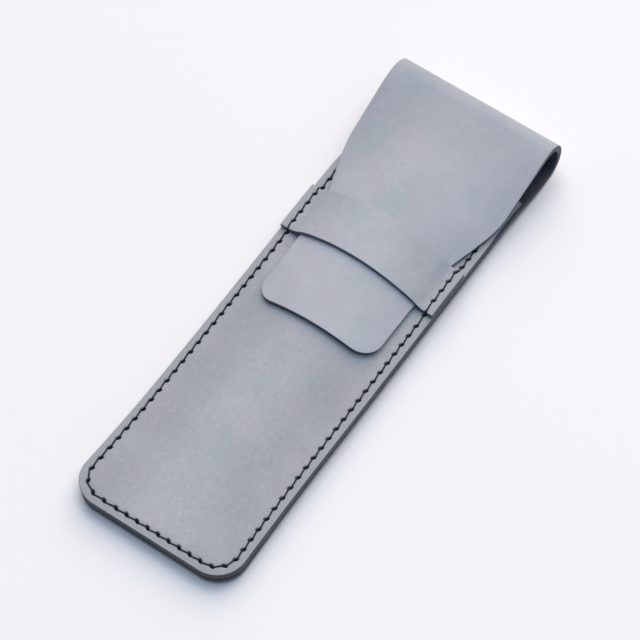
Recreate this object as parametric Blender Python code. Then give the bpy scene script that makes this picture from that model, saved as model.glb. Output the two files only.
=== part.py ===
"""A slim leather pencil case: two panels sewn into a pocket, with a tongue flap held by a strap.

The case lies on its back. X runs across it, Y along it towards the fold and Z up.
The origin is on the table, in the middle of the closed case.
"""

import math

import bmesh
import bpy
from mathutils import Vector

MM = 0.001

# Leather, thread and clearances
LEATHER = 1.85 * MM
GAP = 0.3 * MM
THREAD = 0.5 * MM

# Pocket
WIDTH = 58.0 * MM
LENGTH = 181.0 * MM
MOUTH_Y = 158.5 * MM
CORNER_RADIUS = 10.0 * MM
POCKET_CROWN = 6.2 * MM
CROWN_START_Y = 15.0 * MM
CROWN_FULL_Y = 135.0 * MM
CROWN_MARGIN = 6.0 * MM
CROWN_POWER = 1.5

# Seam
STITCH_PITCH = 3.95 * MM
SEAM_INSET = 2.7 * MM
SEAM_END_INSET = 2.9 * MM
GROOVE_DEPTH = 0.9 * MM

# Strap
STRAP_Y = 118.0 * MM
STRAP_WIDTH = 17.7 * MM
STRAP_WALL_ANGLE = math.radians(60)
STRAP_FOOT_ROUNDING = 0.6 * MM
STRAP_FOOT_PLAY = 0.15 * MM

# Fold, flap and tongue
FOLD_HEIGHT = 14.5 * MM
TONGUE_TO_SEAM = 3.8 * MM
TONGUE_TIP_Y = 85.3 * MM
TONGUE_TIP_RADIUS = 7.0 * MM
TONGUE_PLAY = 0.5 * MM
TONGUE_EDGE_PLAY = 0.55 * MM
TONGUE_EXIT = 0.4 * MM
SHOULDER_LENGTH = 20.0 * MM
SHOULDER_CLEARANCE = 1.1 * MM
FOLD_BENDS = 4
CROWN_FADE_ROUNDING = 0.15

# Faces along and across the curved sheets
ARC_STEPS = 6
ROW_STEP = 6.0 * MM
COLUMNS = 12
COLUMN_CROWDING = 1.2
HALVINGS = 40
BEND_STEPS = 4
SHARP_ANGLE = math.radians(35)
SLOPE_STEP = 0.05 * MM

# Colours and finishes
LEATHER_ROUGHNESS = 0.7
THREAD_ROUGHNESS = 0.5
GREY = (0.41, 0.43, 0.48)
STRAP_GREY = (0.38, 0.40, 0.45)
THREAD_BLACK = (0.012, 0.013, 0.02)

# Heights and places that follow from the sizes above
HALF_WIDTH = WIDTH / 2
FRONT_UNDER_Z = LEATHER + GAP
SEAM_TOP_Z = FRONT_UNDER_Z + LEATHER
STRAP_UNDER_Z = SEAM_TOP_Z + GAP
STRAP_TOP_Z = STRAP_UNDER_Z + LEATHER
FOLD_RADIUS = FOLD_HEIGHT / 2
FOLD_INNER_RADIUS = FOLD_RADIUS - LEATHER
FOLD_Y = LENGTH - FOLD_RADIUS
FOLD_CENTRE = Vector((0, FOLD_Y, FOLD_RADIUS))
TONGUE_HALF = HALF_WIDTH - SEAM_INSET - TONGUE_TO_SEAM
HOLE = THREAD + 2 * GAP


def smoothstep(t):
    t = min(max(t, 0), 1)
    return t * t * (3 - 2 * t)


def soft_ramp(t, rounding):
    """A straight ramp from 0 to 1 whose two ends are rounded off."""
    t = min(max(t, 0), 1)
    if t > 0.5:
        return 1 - soft_ramp(1 - t, rounding)
    if t < rounding:
        return t * t / (2 * rounding * (1 - rounding))
    return (t - rounding / 2) / (1 - rounding)


def spaced(start, end, step):
    """Even places from start to end, about a step apart."""
    count = max(1, round(abs(end - start) / step))
    return [start + (end - start) * i / count for i in range(count + 1)]


def corner_rows(radius, start, towards):
    """Y of the rows that round a corner off evenly, from the end row inwards."""
    turns = [math.pi / 2 * i / ARC_STEPS for i in range(ARC_STEPS)]
    return [start + towards * radius * (1 - math.cos(turn)) for turn in turns]


def rounded_half_width(y, end_y, radius, half):
    """Half of a sheet's width at y, where its end has round corners."""
    depth = abs(y - end_y)
    if depth >= radius:
        return half
    return half - radius + math.sqrt(max(radius**2 - (radius - depth) ** 2, 0))


class Seam:
    """The line of stitches: down the left side, round the bottom and up the right side."""

    def __init__(self):
        self.x = HALF_WIDTH - SEAM_INSET
        self.top = MOUTH_Y - SEAM_END_INSET
        self.radius = CORNER_RADIUS - SEAM_INSET
        self.side = self.top - CORNER_RADIUS
        self.arc = math.pi / 2 * self.radius
        self.base = 2 * (self.x - self.radius)
        self.length = 2 * self.side + 2 * self.arc + self.base
        self.stitches = round(self.length / STITCH_PITCH)
        self.pitch = self.length / self.stitches
        self.places = [self.at(i * self.pitch) for i in range(self.stitches + 1)]

    def at(self, travel):
        """(x, y, heading) after this much of the seam."""
        if travel > self.length / 2:
            x, y, heading = self.at(self.length - travel)
            return -x, y, -heading
        if travel <= self.side:
            return -self.x, self.top - travel, -math.pi / 2
        travel -= self.side
        if travel <= self.arc:
            turn = travel / self.radius
            centre_x = -self.x + self.radius
            x = centre_x - self.radius * math.cos(turn)
            y = CORNER_RADIUS - self.radius * math.sin(turn)
            return x, y, -math.pi / 2 + turn
        return -self.x + self.radius + travel - self.arc, SEAM_INSET, 0.0


SEAM = Seam()

# The strap's edges lie between stitches, so it holds a whole number of them.
STRAP_HOLES = round(STRAP_WIDTH / SEAM.pitch)
FIRST_STRAP_HOLE = round((SEAM.top - STRAP_Y) / SEAM.pitch - (STRAP_HOLES - 1) / 2)
STRAP_CENTRE_Y = SEAM.top - (FIRST_STRAP_HOLE + (STRAP_HOLES - 1) / 2) * SEAM.pitch
STRAP_LOW_Y = STRAP_CENTRE_Y - STRAP_WIDTH / 2
STRAP_HIGH_Y = STRAP_CENTRE_Y + STRAP_WIDTH / 2


def pocket_half_width(y):
    return rounded_half_width(y, 0, CORNER_RADIUS, HALF_WIDTH)


def panel_crown(x, y):
    """How far the front panel is domed above its seams."""
    across = min(abs(x) / (HALF_WIDTH - CROWN_MARGIN), 1)
    along = (y - CROWN_START_Y) / (CROWN_FULL_Y - CROWN_START_Y)
    return POCKET_CROWN * smoothstep(along) * (1 - across**2) ** CROWN_POWER


# The flap's middle runs straight from the top of the fold to rest on the pocket at the strap.
FLAP_AT_STRAP_Z = SEAM_TOP_Z + panel_crown(0, STRAP_CENTRE_Y) + TONGUE_PLAY + LEATHER
FOLD_TO_STRAP = Vector((FOLD_Y - STRAP_CENTRE_Y, FOLD_RADIUS - FLAP_AT_STRAP_Z))
FLAP_SLOPE = (
    math.asin(FOLD_RADIUS / FOLD_TO_STRAP.length)
    - math.atan2(-FOLD_TO_STRAP.y, FOLD_TO_STRAP.x)
)
FLAP_ROOT_Y = FOLD_Y - FOLD_RADIUS * math.sin(FLAP_SLOPE)
FLAP_ROOT_Z = FOLD_RADIUS + FOLD_RADIUS * math.cos(FLAP_SLOPE)
SHOULDER_START_Y = STRAP_HIGH_Y + SHOULDER_CLEARANCE

# The fold is cut into a base, links and a top. Where they meet they turn on the leather's middle
# line, all by the same angle, until the flap lies flat.
BEND_ANGLE = (math.pi + FLAP_SLOPE) / FOLD_BENDS
BENDS = [-math.pi / 2 + BEND_ANGLE * (i + 0.5) for i in range(FOLD_BENDS)]
FOLD_NAMES = ("fold_base", "fold_lower", "fold_middle", "fold_upper", "fold_top")

# The leather rolls round the fold, so the tongue leaves the strap by twice the fold's own travel.
DRAW_AXIS = Vector((0, math.cos(FLAP_SLOPE), math.sin(FLAP_SLOPE)))
DRAW_TRAVEL = (STRAP_HIGH_Y - TONGUE_TIP_Y + TONGUE_EXIT) / math.cos(FLAP_SLOPE) / 2


def flap_middle(y):
    """Height of the flap's grain face along its middle."""
    return FLAP_ROOT_Z - (FLAP_ROOT_Y - y) * math.tan(FLAP_SLOPE)


TONGUE_EDGE_Z = SEAM_TOP_Z + TONGUE_EDGE_PLAY + LEATHER
FLAP_CURVE = (flap_middle(TONGUE_TIP_Y + TONGUE_TIP_RADIUS) - TONGUE_EDGE_Z) / TONGUE_HALF**2


def flap_half_width(y):
    """The tongue is straight, and swells into the flap's full width above the strap."""
    if y < SHOULDER_START_Y:
        return rounded_half_width(y, TONGUE_TIP_Y, TONGUE_TIP_RADIUS, TONGUE_HALF)
    turn = min((y - SHOULDER_START_Y) / SHOULDER_LENGTH, 1) * math.pi / 2
    return TONGUE_HALF + (HALF_WIDTH - TONGUE_HALF) * math.sin(turn)


def flap_curve(y):
    """How strongly the flap is bowed across: full at the strap, straight at the fold."""
    along = (y - STRAP_HIGH_Y) / (FLAP_ROOT_Y - STRAP_HIGH_Y)
    return FLAP_CURVE * (1 - soft_ramp(along, CROWN_FADE_ROUNDING))


def flap_top(x, y):
    return flap_middle(y) - flap_curve(y) * x * x


def surface_normal(height, x, y):
    """Upward normal of the face z = height(x, y)."""
    slope_x = (height(x + SLOPE_STEP, y) - height(x - SLOPE_STEP, y)) / (2 * SLOPE_STEP)
    slope_y = (height(x, y + SLOPE_STEP) - height(x, y - SLOPE_STEP)) / (2 * SLOPE_STEP)
    return Vector((-slope_x, -slope_y, 1)).normalized()


def sheet_mesh(grain, flesh):
    """A closed sheet between two grids of points, rows of equal length, grain face up."""
    mesh = bmesh.new()
    above = [[mesh.verts.new(point) for point in row] for row in grain]
    below = [[mesh.verts.new(point) for point in row] for row in flesh]
    rows, columns = len(grain), len(grain[0])
    for i in range(rows - 1):
        for j in range(columns - 1):
            mesh.faces.new(
                (above[i][j], above[i][j + 1], above[i + 1][j + 1], above[i + 1][j])
            )
            mesh.faces.new(
                (below[i][j], below[i + 1][j], below[i + 1][j + 1], below[i][j + 1])
            )
    around = (
        [(0, j) for j in range(columns)]
        + [(i, columns - 1) for i in range(1, rows)]
        + [(rows - 1, j) for j in range(columns - 2, -1, -1)]
        + [(i, 0) for i in range(rows - 2, 0, -1)]
    )
    for (i, j), (k, m) in zip(around, around[1:] + around[:1]):
        mesh.faces.new((above[i][j], below[i][j], below[k][m], above[k][m]))
    return mesh


def plain_material(name, colour, roughness):
    material = bpy.data.materials.new(name)
    material.use_nodes = True
    shader = material.node_tree.nodes["Principled BSDF"]
    shader.inputs["Base Color"].default_value = (*colour, 1)
    shader.inputs["Roughness"].default_value = roughness
    shader.inputs["Metallic"].default_value = 0.0
    material.diffuse_color = (*colour, 1)
    return material


def add_carrier(name, place, parent=None, **motion):
    """An empty at a place of the closed case, which carries the pieces of one body.

    Its custom properties say how it moves: its axis and its lowest and highest travel.
    """
    carrier = bpy.data.objects.new(name, None)
    bpy.context.scene.collection.objects.link(carrier)
    carrier.empty_display_size = WIDTH / 2
    carrier["place"] = place
    carrier.parent = parent
    carrier.location = place - (Vector(parent["place"]) if parent else Vector())
    for key, value in motion.items():
        carrier[key] = value
    return carrier


def add_piece(name, mesh, carrier, colour=None, roughness=LEATHER_ROUGHNESS, smooth=True):
    """Turn a mesh made in the case's own coordinates into an object on its carrier."""
    data = bpy.data.meshes.new(name)
    bmesh.ops.recalc_face_normals(mesh, faces=mesh.faces)
    bmesh.ops.translate(mesh, verts=mesh.verts, vec=-Vector(carrier["place"]))
    mesh.to_mesh(data)
    mesh.free()
    piece = bpy.data.objects.new(name, data)
    bpy.context.scene.collection.objects.link(piece)
    piece.parent = carrier
    if smooth:
        data.shade_smooth()
        data.set_sharp_from_angle(angle=SHARP_ANGLE)
    if colour:
        data.materials.append(plain_material(name, colour, roughness))
    return piece


def add_cutter(name, mesh, carrier):
    cutter = add_piece(name, mesh, carrier, smooth=False)
    cutter.hide_render = True
    cutter.display_type = "WIRE"
    return cutter


def cut(piece, *cutters):
    for cutter in cutters:
        difference = piece.modifiers.new(cutter.name, "BOOLEAN")
        difference.operation = "DIFFERENCE"
        difference.solver = "EXACT"
        difference.object = cutter


def prism(mesh, corners, low, high):
    """Add an upright prism on a ring of (x, y) corners."""
    bottom = [mesh.verts.new((x, y, low)) for x, y in corners]
    top = [mesh.verts.new((x, y, high)) for x, y in corners]
    mesh.faces.new(bottom[::-1])
    mesh.faces.new(top)
    for i, vertex in enumerate(bottom):
        j = (i + 1) % len(bottom)
        mesh.faces.new((vertex, bottom[j], top[j], top[i]))


def beside(x, y, heading, along, across):
    """A point moved along and across (to the left of) a heading."""
    return (
        x + along * math.cos(heading) - across * math.sin(heading),
        y + along * math.sin(heading) + across * math.cos(heading),
    )


def square(place, size):
    half = size / 2
    ring = [(-half, -half), (half, -half), (half, half), (-half, half)]
    return [beside(*place, along, across) for along, across in ring]


def stitch_holes():
    """One square hole for each stitch, through every layer."""
    mesh = bmesh.new()
    for place in SEAM.places:
        prism(mesh, square(place, HOLE), -LEATHER, STRAP_TOP_Z + LEATHER)
    return mesh


def stitch_groove():
    """A groove under the back panel that lets the thread lie below the leather's face."""
    mesh = bmesh.new()
    straight = SEAM.side
    turn = [straight + SEAM.arc * i / ARC_STEPS for i in range(ARC_STEPS + 1)]
    other = [SEAM.length - travel for travel in reversed(turn)]
    path = [SEAM.at(travel) for travel in [0, *turn, *other, SEAM.length]]
    path[0] = (*beside(*path[0], -HOLE, 0), path[0][2])
    path[-1] = (*beside(*path[-1], HOLE, 0), path[-1][2])
    left = [beside(*place, 0, HOLE / 2) for place in path]
    right = [beside(*place, 0, -HOLE / 2) for place in path]
    prism(mesh, right + left[::-1], -LEATHER, GROOVE_DEPTH)
    return mesh


def opposite_sides(bit):
    """Two facing sides of a thread knot, as rings of corner numbers that meet in order.

    A corner's number is 4 if it is ahead, plus 2 if it is to the left, plus 1 if it is above.
    """
    low, high = [other for other in (1, 2, 4) if other != bit]
    ring = (0, low, low + high, high)
    return ring, tuple(corner + bit for corner in ring)


ABOVE_BIT, LEFT_BIT, AHEAD_BIT = 1, 2, 4
BACK, AHEAD = opposite_sides(AHEAD_BIT)
RIGHT, LEFT = opposite_sides(LEFT_BIT)
BELOW, ABOVE = opposite_sides(ABOVE_BIT)
SIDES = (BACK, AHEAD, RIGHT, LEFT, BELOW, ABOVE)


class Thread:
    """A square thread made of small knots joined side to side, which closes into one body."""

    def __init__(self):
        self.mesh = bmesh.new()
        self.joined = set()
        self.knots = []

    def knot(self, place, low):
        half = THREAD / 2
        corners = [
            self.mesh.verts.new((*beside(*place, along, across), z))
            for along in (-half, half)
            for across in (-half, half)
            for z in (low, low + THREAD)
        ]
        self.knots.append(corners)
        return len(self.knots) - 1

    def join(self, first, side, second, facing):
        """Run the thread from one knot's side to the facing side of another."""
        a = [self.knots[first][n] for n in side]
        b = [self.knots[second][n] for n in facing]
        for i in range(4):
            j = (i + 1) % 4
            self.mesh.faces.new((a[i], a[j], b[j], b[i]))
        self.joined |= {(first, side), (second, facing)}

    def close(self):
        for number, corners in enumerate(self.knots):
            for side in SIDES:
                if (number, side) not in self.joined:
                    self.mesh.faces.new([corners[n] for n in side])
        return self.mesh


def on_strap(place):
    return STRAP_LOW_Y < place[1] < STRAP_HIGH_Y


def stitching():
    """Thread on both faces of the seam, tied through every hole and lifted over the strap."""
    thread = Thread()
    panel_level, strap_level = SEAM_TOP_Z + GAP, STRAP_TOP_Z + GAP
    back_level = GROOVE_DEPTH - GAP - THREAD
    last = len(SEAM.places) - 1
    front_before = back_before = None
    for i, place in enumerate(SEAM.places):
        raised = on_strap(place)
        came_off = i > 0 and on_strap(SEAM.places[i - 1])
        goes_on = i < last and on_strap(SEAM.places[i + 1])
        front = thread.knot(place, strap_level if raised else panel_level)
        back = thread.knot(place, back_level)
        thread.join(back, ABOVE, front, BELOW)
        arrive = leave = front
        if not raised and (came_off or goes_on):
            lifted = thread.knot(place, strap_level)
            thread.join(front, ABOVE, lifted, BELOW)
            arrive = lifted if came_off else front
            leave = lifted if goes_on else front
        if i > 0:
            thread.join(front_before, AHEAD, arrive, BACK)
            thread.join(back_before, AHEAD, back, BACK)
        front_before, back_before = leave, back
    return thread.close()


def back_panel():
    """The flat back, which runs on past the mouth to the fold."""
    rows = corner_rows(CORNER_RADIUS, 0, 1) + [CORNER_RADIUS, FOLD_Y - GAP / 2]
    across = (-1, 1)
    grain = [[(u * pocket_half_width(y), y, 0) for u in across] for y in rows]
    flesh = [[(u * pocket_half_width(y), y, LEATHER) for u in across] for y in rows]
    return sheet_mesh(grain, flesh)


def crowded_columns(count):
    """Places across a sheet from -1 to 1, closer together towards its edges."""
    even = [2 * j / count - 1 for j in range(count + 1)]
    return [math.copysign(1 - (1 - abs(u)) ** COLUMN_CROWDING, u) for u in even]


def front_panel():
    """The pocket's front, flat along its seams and domed between them."""
    rows = corner_rows(CORNER_RADIUS, 0, 1) + spaced(CORNER_RADIUS, MOUTH_Y, ROW_STEP)
    margin = HALF_WIDTH - CROWN_MARGIN
    inner = [margin * u / HALF_WIDTH for u in crowded_columns(COLUMNS)]
    across = [-1, *inner, 1]
    grain, flesh = [], []
    for y in rows:
        xs = [u * pocket_half_width(y) for u in across]
        crowns = [panel_crown(x, y) for x in xs]
        normals = [surface_normal(panel_crown, x, y) for x in xs]
        upper = [Vector((x, y, SEAM_TOP_Z + crown)) for x, crown in zip(xs, crowns)]
        lower = [point - normal * LEATHER for point, normal in zip(upper, normals)]
        grain.append(upper)
        flesh.append([(point.x, y, point.z) for point in lower])
    return sheet_mesh(grain, flesh)


def strap_under(y):
    """The strap's underside at y, from its right edge to its middle, as (x, z) points."""
    rise = math.tan(STRAP_WALL_ANGLE)
    thread_edge = SEAM.x - THREAD / 2
    foot_x = thread_edge - LEATHER * math.tan(STRAP_WALL_ANGLE / 2) - STRAP_FOOT_PLAY

    def wall(x):
        return STRAP_UNDER_Z + (foot_x - x) * rise

    def arch(x):
        return flap_top(x, y) + GAP

    inner, outer = 0, foot_x
    for _ in range(HALVINGS):
        middle = (inner + outer) / 2
        if wall(middle) > arch(middle):
            inner = middle
        else:
            outer = middle
    knee = Vector((inner, wall(inner)))
    foot = Vector((foot_x, STRAP_UNDER_Z))
    down = (foot - knee).normalized()
    rounding = min(STRAP_FOOT_ROUNDING, (foot - knee).length / 3)
    points = [
        Vector((HALF_WIDTH, STRAP_UNDER_Z)),
        foot + Vector((rounding, 0)),
        foot - down * rounding,
        knee + down * rounding,
    ]
    arch_edge = inner - rounding
    xs = spaced(arch_edge, 0, arch_edge / COLUMNS * 2)
    return points + [Vector((x, arch(x))) for x in xs]


def offset_line(points, distance):
    """A line kept at a distance on the left of another that runs from right to left, above it."""
    ways = [(b - a).normalized() for a, b in zip(points, points[1:])]
    normals = [Vector((way.y, -way.x)) for way in ways]
    result = []
    for i, point in enumerate(points):
        before, after = normals[max(i - 1, 0)], normals[min(i, len(normals) - 1)]
        middle = (before + after).normalized()
        result.append(point + middle * distance / middle.dot(after))
    return result


def strap():
    """The keeper strap, flat on the seams and arched over the tongue."""
    grain, flesh = [], []
    for y in spaced(STRAP_LOW_Y, STRAP_HIGH_Y, ROW_STEP):
        under = strap_under(y)
        mirrored = [Vector((-point.x, point.y)) for point in under[-2::-1]]
        under = under + mirrored
        over = offset_line(under, LEATHER)
        over[0].x, over[-1].x = HALF_WIDTH, -HALF_WIDTH
        grain.append([(point.x, y, point.y) for point in over])
        flesh.append([(point.x, y, point.y) for point in under])
    return sheet_mesh(grain, flesh)


def on_fold(turn, radius):
    return FOLD_CENTRE + Vector((0, math.cos(turn), math.sin(turn))) * radius


def fold_arc(start, end):
    """A stretch of the round fold between two angles about its axis, with half a gap at each end."""
    spare = GAP / 2 / FOLD_INNER_RADIUS
    turns = spaced(start + spare, end - spare, BEND_ANGLE / BEND_STEPS)
    grain, flesh = [], []
    for turn in turns:
        for rows, radius in ((grain, FOLD_RADIUS), (flesh, FOLD_INNER_RADIUS)):
            centre = on_fold(turn, radius)
            rows.append([centre - Vector((u * HALF_WIDTH, 0, 0)) for u in (-1, 1)])
    return sheet_mesh(grain, flesh)


def flap():
    """The flap from the fold to the tongue's tip, bowed across by the strap."""
    tip = corner_rows(TONGUE_TIP_RADIUS, TONGUE_TIP_Y, 1)
    straight = spaced(TONGUE_TIP_Y + TONGUE_TIP_RADIUS, SHOULDER_START_Y, ROW_STEP * 2)
    shoulder_end = SHOULDER_START_Y + SHOULDER_LENGTH
    shoulders = spaced(SHOULDER_START_Y, shoulder_end, ROW_STEP / 2)
    rest = spaced(shoulder_end, FLAP_ROOT_Y, ROW_STEP)
    rows = tip + straight + shoulders[1:] + rest[1:]
    root_gap = GAP / 2 / math.cos(FLAP_SLOPE)
    rows[-1] -= root_gap
    across = [2 * j / COLUMNS - 1 for j in range(COLUMNS + 1)]
    grain, flesh = [], []
    for y in rows:
        upper = [Vector((u * flap_half_width(y), y, 0)) for u in across]
        for point in upper:
            point.z = flap_top(point.x, y)
        normals = [surface_normal(flap_top, point.x, y) for point in upper]
        grain.append(upper)
        flesh.append([p - normal * LEATHER for p, normal in zip(upper, normals)])
    return sheet_mesh(grain, flesh)


def build():
    for old in list(bpy.data.objects):
        bpy.data.objects.remove(old, do_unlink=True)

    case = add_carrier("case", Vector())
    case.location = (0, -LENGTH / 2, 0)
    draw = {"slide_axis": DRAW_AXIS, "range": (0.0, DRAW_TRAVEL)}
    swing = {"hinge_axis": (-1.0, 0.0, 0.0), "range": (0.0, BEND_ANGLE)}
    carriers = [add_carrier("fold_slide", Vector((0, FOLD_Y, 0)), case, **draw)]
    for i, turn in enumerate(BENDS):
        place = on_fold(turn, FOLD_RADIUS - LEATHER / 2)
        carriers.append(add_carrier(f"bend_{i + 1}", place, carriers[-1], **swing))
    root = Vector((0, FLAP_ROOT_Y, FLAP_ROOT_Z))
    flap_feed = add_carrier("flap_feed", root, carriers[-1], **draw)

    holes = add_cutter("stitch_holes", stitch_holes(), case)
    groove = add_cutter("stitch_groove", stitch_groove(), case)
    cut(add_piece("back_panel", back_panel(), case, GREY), groove, holes)
    cut(add_piece("front_panel", front_panel(), case, GREY), holes)
    cut(add_piece("strap", strap(), case, STRAP_GREY), holes)
    add_piece("stitching", stitching(), case, THREAD_BLACK, THREAD_ROUGHNESS, smooth=False)

    ends = [-math.pi / 2, *BENDS, math.pi / 2 + FLAP_SLOPE]
    for name, carrier, start, end in zip(FOLD_NAMES, carriers, ends, ends[1:]):
        add_piece(name, fold_arc(start, end), carrier, GREY)
    add_piece("flap", flap(), flap_feed, GREY)


build()
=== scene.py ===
"""A grey leather pencil case on a pale studio floor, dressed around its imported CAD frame.

Every piece is made in the closed case's own place: X runs across it, Y along it and Z up.
"""

import math
from functools import cached_property

import bmesh
import bpy
import numpy as np
from mathutils import Matrix, Vector


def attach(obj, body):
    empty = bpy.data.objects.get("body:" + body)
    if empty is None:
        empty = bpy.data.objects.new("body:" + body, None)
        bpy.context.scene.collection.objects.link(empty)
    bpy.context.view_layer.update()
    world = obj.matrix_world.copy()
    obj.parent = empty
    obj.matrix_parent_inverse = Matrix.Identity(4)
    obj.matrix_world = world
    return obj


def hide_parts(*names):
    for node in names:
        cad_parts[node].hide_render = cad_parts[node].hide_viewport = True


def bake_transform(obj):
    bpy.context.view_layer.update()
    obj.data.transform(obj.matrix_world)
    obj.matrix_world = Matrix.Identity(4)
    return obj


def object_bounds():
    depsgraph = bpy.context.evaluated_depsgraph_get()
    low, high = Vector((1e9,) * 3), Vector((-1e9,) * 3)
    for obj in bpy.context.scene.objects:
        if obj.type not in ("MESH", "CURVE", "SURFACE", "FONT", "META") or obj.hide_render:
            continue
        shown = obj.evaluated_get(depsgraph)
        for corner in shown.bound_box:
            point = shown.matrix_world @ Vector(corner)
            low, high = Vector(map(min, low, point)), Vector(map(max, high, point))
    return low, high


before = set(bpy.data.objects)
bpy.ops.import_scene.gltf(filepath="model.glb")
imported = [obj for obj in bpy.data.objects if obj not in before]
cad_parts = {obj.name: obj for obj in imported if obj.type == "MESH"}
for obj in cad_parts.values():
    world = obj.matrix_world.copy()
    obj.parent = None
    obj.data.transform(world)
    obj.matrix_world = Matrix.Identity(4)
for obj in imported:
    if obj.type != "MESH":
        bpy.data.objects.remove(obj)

bl_info = {
    "name": "Leather Pencil Case",
    "version": (1, 0, 0),
    "blender": (4, 5, 0),
    "location": "3D View > Sidebar > Pencil Case",
    "description": "Makes a hand-sewn leather pencil case around its CAD frame",
    "category": "Add Mesh",
}

MM = 0.001
CAD_LOW, CAD_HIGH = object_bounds()
SEWN_END = CAD_LOW.y

# Finishes, as the numbers of a sheet's material slots
GRAIN, CUT_EDGE, FLESH = 0, 1, 2

# A sheet's edges: how they are rounded, how much of that is dyed as cut edge on a crossed sheet,
# how many lines of points it takes on a tongue-shaped one, and where an edge creases
ROUNDING, RIM, RIM_LINES = 0.25 * MM, 0.1 * MM, 3
CREASE = math.radians(40)

# Lines of points beside an edge: a fine one, one dense round the slits of a seam, a plain one
EDGE_LINES = [0.0, 0.02 * MM, 0.08 * MM, 0.16 * MM, 0.25 * MM]
SLIT_LINES = (0.5, 0.9, 1.3, 1.6, 1.8, *np.arange(2.0, 4.05, 0.19), 4.3, 4.8, 5.6)
SEAM_LINES = EDGE_LINES + [distance * MM for distance in SLIT_LINES]
PLAIN_LINES = [0.0, 0.08 * MM, 0.25 * MM, 1.2 * MM]

# Steps of a sewn edge's points, of an outline's dense line and between two heights of a slope
SEWN_STEP, OUTLINE_STEP, SLOPE_STEP = 0.24 * MM, 0.05 * MM, 0.05 * MM


def smoothstep(low, high, value):
    t = np.clip((np.asarray(value, float) - low) / (high - low), 0, 1)
    return t * t * (3 - 2 * t)


def soft_ramp(t, rounding):
    """A straight ramp from 0 to 1 whose two ends are rounded off."""
    t = np.clip(t, 0, 1)
    near = np.minimum(t, 1 - t)
    start = near**2 / (2 * rounding * (1 - rounding))
    half = np.where(near < rounding, start, (near - rounding / 2) / (1 - rounding))
    return np.where(t > 0.5, 1 - half, half)


class PencilCaseSizes(bpy.types.PropertyGroup):
    width: bpy.props.FloatProperty(
        name="Width", description="Width of the case across its seams",
        default=CAD_HIGH.x - CAD_LOW.x, unit="LENGTH",
    )
    length: bpy.props.FloatProperty(
        name="Length", description="Length of the closed case, from its sewn end to the fold",
        default=CAD_HIGH.y - CAD_LOW.y, unit="LENGTH",
    )
    leather: bpy.props.FloatProperty(
        name="Leather", description="Thickness of the leather", default=1.85 * MM, unit="LENGTH",
    )
    corner_radius: bpy.props.FloatProperty(
        name="Corner Radius", description="Radius of the pocket's bottom corners",
        default=10 * MM, unit="LENGTH",
    )
    mouth: bpy.props.FloatProperty(
        name="Mouth", description="Distance of the pocket's mouth from the sewn end",
        default=158.5 * MM, unit="LENGTH",
    )
    crown: bpy.props.FloatProperty(
        name="Crown", description="How far the front panel is domed above its seams",
        default=6.1 * MM, unit="LENGTH",
    )
    tongue_width: bpy.props.FloatProperty(
        name="Tongue Width", description="Width of the tongue that slides under the strap",
        default=43.8 * MM, unit="LENGTH",
    )
    strap_width: bpy.props.FloatProperty(
        name="Strap Width", description="Width of the strap, along the case",
        default=17.7 * MM, unit="LENGTH",
    )
    thread: bpy.props.FloatProperty(
        name="Thread", description="Thickness of the waxed thread",
        default=0.52 * MM, unit="LENGTH",
    )
    slit: bpy.props.FloatProperty(
        name="Stitch Slit", description="Length of the slanted slit that each stitch passes through",
        default=1.95 * MM, unit="LENGTH",
    )


class PencilCaseColours(bpy.types.PropertyGroup):
    grain: bpy.props.FloatVectorProperty(
        name="Grain", description="Colour of the leather's outer face",
        default=(0.395, 0.415, 0.465), subtype="COLOR", min=0, max=1,
    )
    grain_warm: bpy.props.FloatVectorProperty(
        name="Warm Grain", description="Colour of the warmer clouds in the outer face",
        default=(0.425, 0.405, 0.468), subtype="COLOR", min=0, max=1,
    )
    grain_light: bpy.props.FloatVectorProperty(
        name="Light Grain", description="Colour of the paler clouds in the outer face",
        default=(0.415, 0.442, 0.482), subtype="COLOR", min=0, max=1,
    )
    grain_dark: bpy.props.FloatVectorProperty(
        name="Dark Grain", description="Colour of the darker clouds in the outer face",
        default=(0.352, 0.382, 0.424), subtype="COLOR", min=0, max=1,
    )
    cut_edge: bpy.props.FloatVectorProperty(
        name="Cut Edge", description="Colour of the leather's dyed and rubbed edges",
        default=(0.062, 0.091, 0.124), subtype="COLOR", min=0, max=1,
    )
    flesh: bpy.props.FloatVectorProperty(
        name="Flesh Side", description="Colour of the leather's inner face",
        default=(0.044, 0.051, 0.074), subtype="COLOR", min=0, max=1,
    )
    thread: bpy.props.FloatVectorProperty(
        name="Thread", description="Colour of the waxed thread",
        default=(0.016, 0.020, 0.030), subtype="COLOR", min=0, max=1,
    )


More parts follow.
